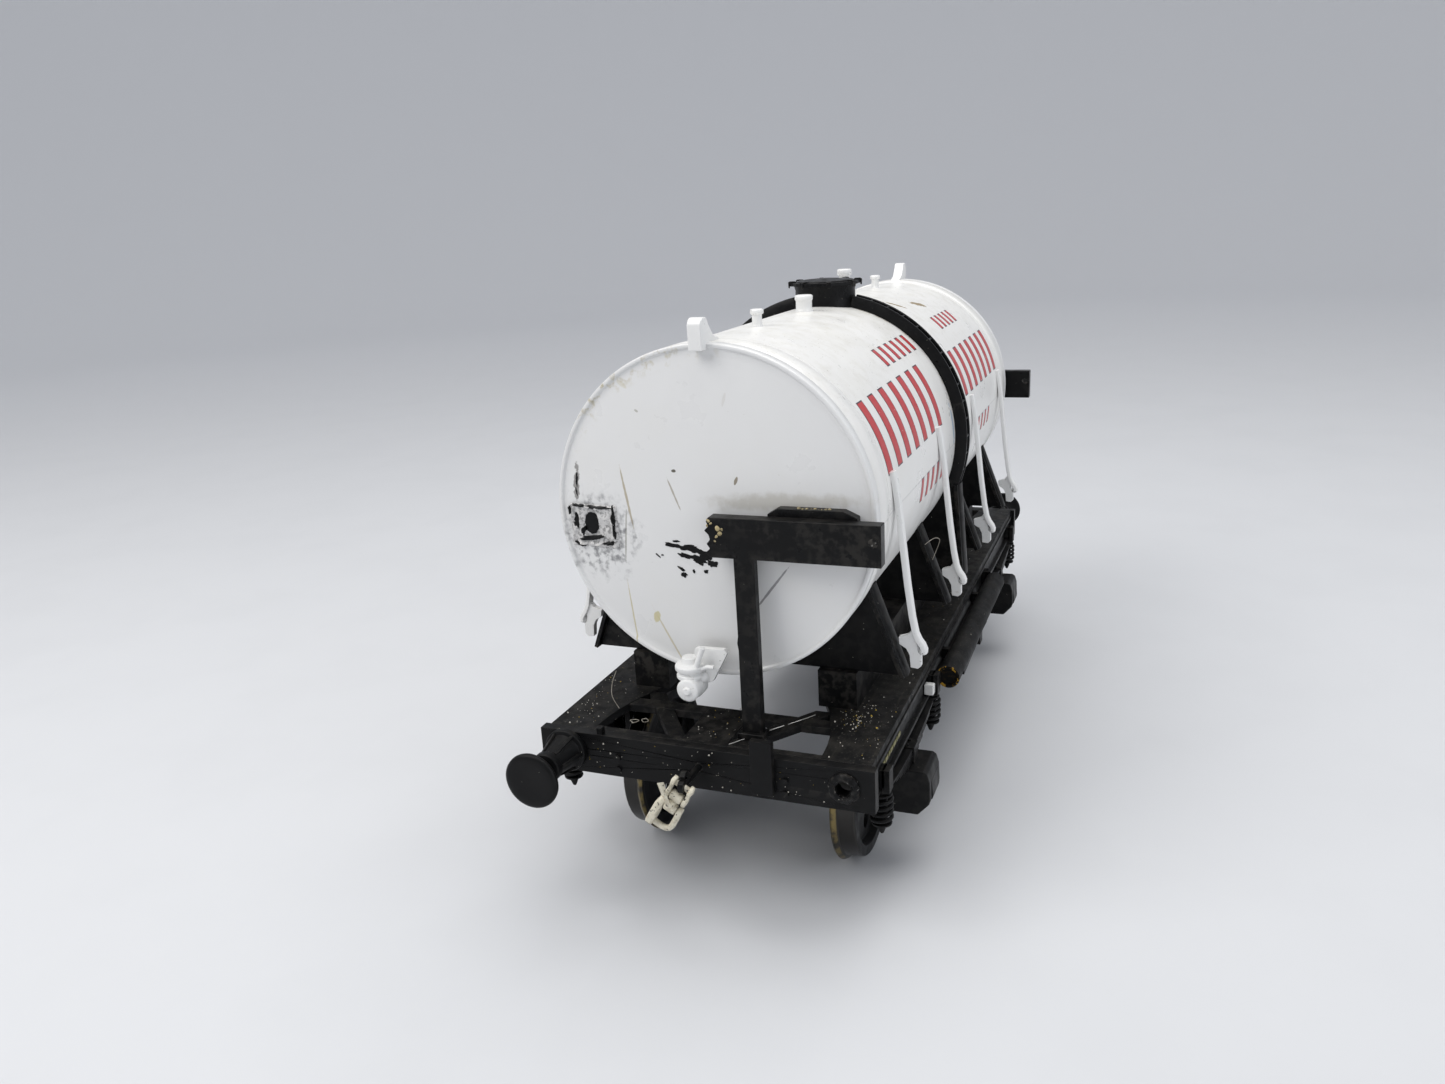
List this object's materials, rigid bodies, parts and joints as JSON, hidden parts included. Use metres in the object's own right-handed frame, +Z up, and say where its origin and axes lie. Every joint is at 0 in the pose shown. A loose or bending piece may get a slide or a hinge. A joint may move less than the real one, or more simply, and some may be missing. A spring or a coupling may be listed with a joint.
{
  "type": "model tank wagon",
  "caption": "Model milk tank wagon: white tank on black cradles and white tie rods, sprung buffers, swinging screw couplings, turning wheels; a buffer and half an end beam are missing.",
  "frame": {"origin": "middle of the wagon, on the level of the lowest points of the wheel flanges", "axes": "+X along the wagon to the far end, +Y to its left side, +Z up"},
  "size_m": [0.148, 0.0546, 0.0825],
  "materials": {
    "tank_white": "glossy off-white paint, scratched and stained",
    "fittings_white": "satin white paint, chipped",
    "gloss_black": "semi-gloss black paint",
    "cradle_black": "satin black paint",
    "underframe_black": "satin black paint, dusty",
    "deck_dusty": "matt black paint under grey-brown dust",
    "wheel_steel": "turned and blackened",
    "bearing_brass": "turned",
    "spring_steel": "drawn wire",
    "buffer_steel": "blackened and polished by wear",
    "bare_metal": "worn whitemetal",
    "ballast": "plain",
    "coupling_cream": "dirty cream paint"
  },
  "bodies": {
    "wagon": {"tank_barrel": "tank_white", "tank_end_near": "tank_white", "tank_end_far": "tank_white", "ballast_weight": "ballast", "lifting_lugs": "fittings_white", "small_vents": "fittings_white", "vent_stub": "fittings_white", "breather_vent": "fittings_white", "manhole_neck": "gloss_black", "manhole_lid": "gloss_black", "lid_clamps": "gloss_black", "centre_band": "gloss_black", "tie_rods_left": "fittings_white", "tie_rods_right": "fittings_white", "rod_anchors": "fittings_white", "cradle_near": "cradle_black", "cradle_second": "cradle_black", "cradle_centre": "cradle_black", "cradle_fourth": "cradle_black", "cradle_far": "cradle_black", "bearers": "cradle_black", "fixing_screws": "spring_steel", "deck_plate": "deck_dusty", "solebar_left": "underframe_black", "solebar_right": "underframe_black", "headstock_near": "underframe_black", "headstock_far": "underframe_black", "headstock_bolts": "underframe_black", "axleguards": "underframe_black", "axleboxes": "underframe_black", "bearing_cups": "bearing_brass", "leaf_springs": "underframe_black", "spring_hangers": "underframe_black", "reservoirs": "underframe_black", "brake_shoes": "underframe_black", "brake_shaft": "underframe_black", "brake_levers": "underframe_black", "buffer_housings": "underframe_black", "buffer_socket_near": "bare_metal", "buffer_springs": "spring_steel", "draw_springs": "spring_steel", "end_beam_near": "gloss_black", "end_beam_far": "gloss_black", "outlet_valves": "fittings_white", "vacuum_pipe_brackets": "underframe_black"},
    "wheelset_near": {"axle_near": "wheel_steel", "wheels_near": "wheel_steel"},
    "wheelset_far": {"axle_far": "wheel_steel", "wheels_far": "wheel_steel"},
    "buffer_near_left": {"buffer_head_near": "buffer_steel"},
    "buffer_far_left": {"buffer_head_far_left": "buffer_steel"},
    "buffer_far_right": {"buffer_head_far_right": "buffer_steel"},
    "hook_near": {"drawhook_near": "underframe_black"},
    "hook_far": {"drawhook_far": "underframe_black"},
    "upper_link_near": {"link_near": "coupling_cream"},
    "upper_link_far": {"link_far": "coupling_cream"},
    "coupling_screw_near": {"screw_near": "coupling_cream"},
    "coupling_screw_far": {"screw_far": "coupling_cream"},
    "coupling_shackle_near": {"shackle_near": "coupling_cream"},
    "coupling_shackle_far": {"shackle_far": "coupling_cream"}
  },
  "joints": [
    {"name": "wheelset_near_spin", "type": "hinge", "parent": "wagon", "child": "wheelset_near", "pos_m": [-0.042, 0, 0.0115], "axis": [0, 1, 0], "continuous": true},
    {"name": "wheelset_far_spin", "type": "hinge", "parent": "wagon", "child": "wheelset_far", "pos_m": [0.042, 0, 0.0115], "axis": [0, 1, 0], "continuous": true},
    {"name": "buffer_near_left_slide", "type": "slide", "parent": "wagon", "child": "buffer_near_left", "axis": [1, 0, 0], "range_m": [0, 0.0016], "stiffness_N_per_m": 250, "springref_m": -0.0004, "deforming": ["buffer_springs"]},
    {"name": "buffer_far_left_slide", "type": "slide", "parent": "wagon", "child": "buffer_far_left", "axis": [-1, 0, 0], "range_m": [0, 0.0016], "stiffness_N_per_m": 250, "springref_m": -0.0004, "deforming": ["buffer_springs"]},
    {"name": "buffer_far_right_slide", "type": "slide", "parent": "wagon", "child": "buffer_far_right", "axis": [-1, 0, 0], "range_m": [0, 0.0016], "stiffness_N_per_m": 250, "springref_m": -0.0004, "deforming": ["buffer_springs"]},
    {"name": "hook_near_slide", "type": "slide", "parent": "wagon", "child": "hook_near", "axis": [-1, 0, 0], "range_m": [0, 0.0012], "stiffness_N_per_m": 400, "springref_m": -0.0004, "deforming": ["draw_springs"]},
    {"name": "link_near_swing", "type": "hinge", "parent": "hook_near", "child": "upper_link_near", "pos_m": [-0.0694, 0, 0.0228], "axis": [0, 0.866, 0.5], "range_deg": [-15, 70]},
    {"name": "screw_near_swing", "type": "hinge", "parent": "upper_link_near", "child": "coupling_screw_near", "pos_m": [-0.0694, 0.00095, 0.02116], "axis": [0, 0.866, 0.5], "range_deg": [-20, 32]},
    {"name": "shackle_near_swing", "type": "hinge", "parent": "coupling_screw_near", "child": "coupling_shackle_near", "pos_m": [-0.0694, 0.0019, 0.01951], "axis": [0, 0.866, 0.5], "range_deg": [-20, 50]},
    {"name": "hook_far_slide", "type": "slide", "parent": "wagon", "child": "hook_far", "axis": [1, 0, 0], "range_m": [0, 0.0012], "stiffness_N_per_m": 400, "springref_m": -0.0004, "deforming": ["draw_springs"]},
    {"name": "link_far_swing", "type": "hinge", "parent": "hook_far", "child": "upper_link_far", "pos_m": [0.0694, 0, 0.0228], "axis": [0, -1, 0], "range_deg": [-15, 70]},
    {"name": "screw_far_swing", "type": "hinge", "parent": "upper_link_far", "child": "coupling_screw_far", "pos_m": [0.0694, 0, 0.0209], "axis": [0, -1, 0], "range_deg": [-20, 32]},
    {"name": "shackle_far_swing", "type": "hinge", "parent": "coupling_screw_far", "child": "coupling_shackle_far", "pos_m": [0.0694, 0, 0.019], "axis": [0, -1, 0], "range_deg": [-20, 50]}
  ]
}
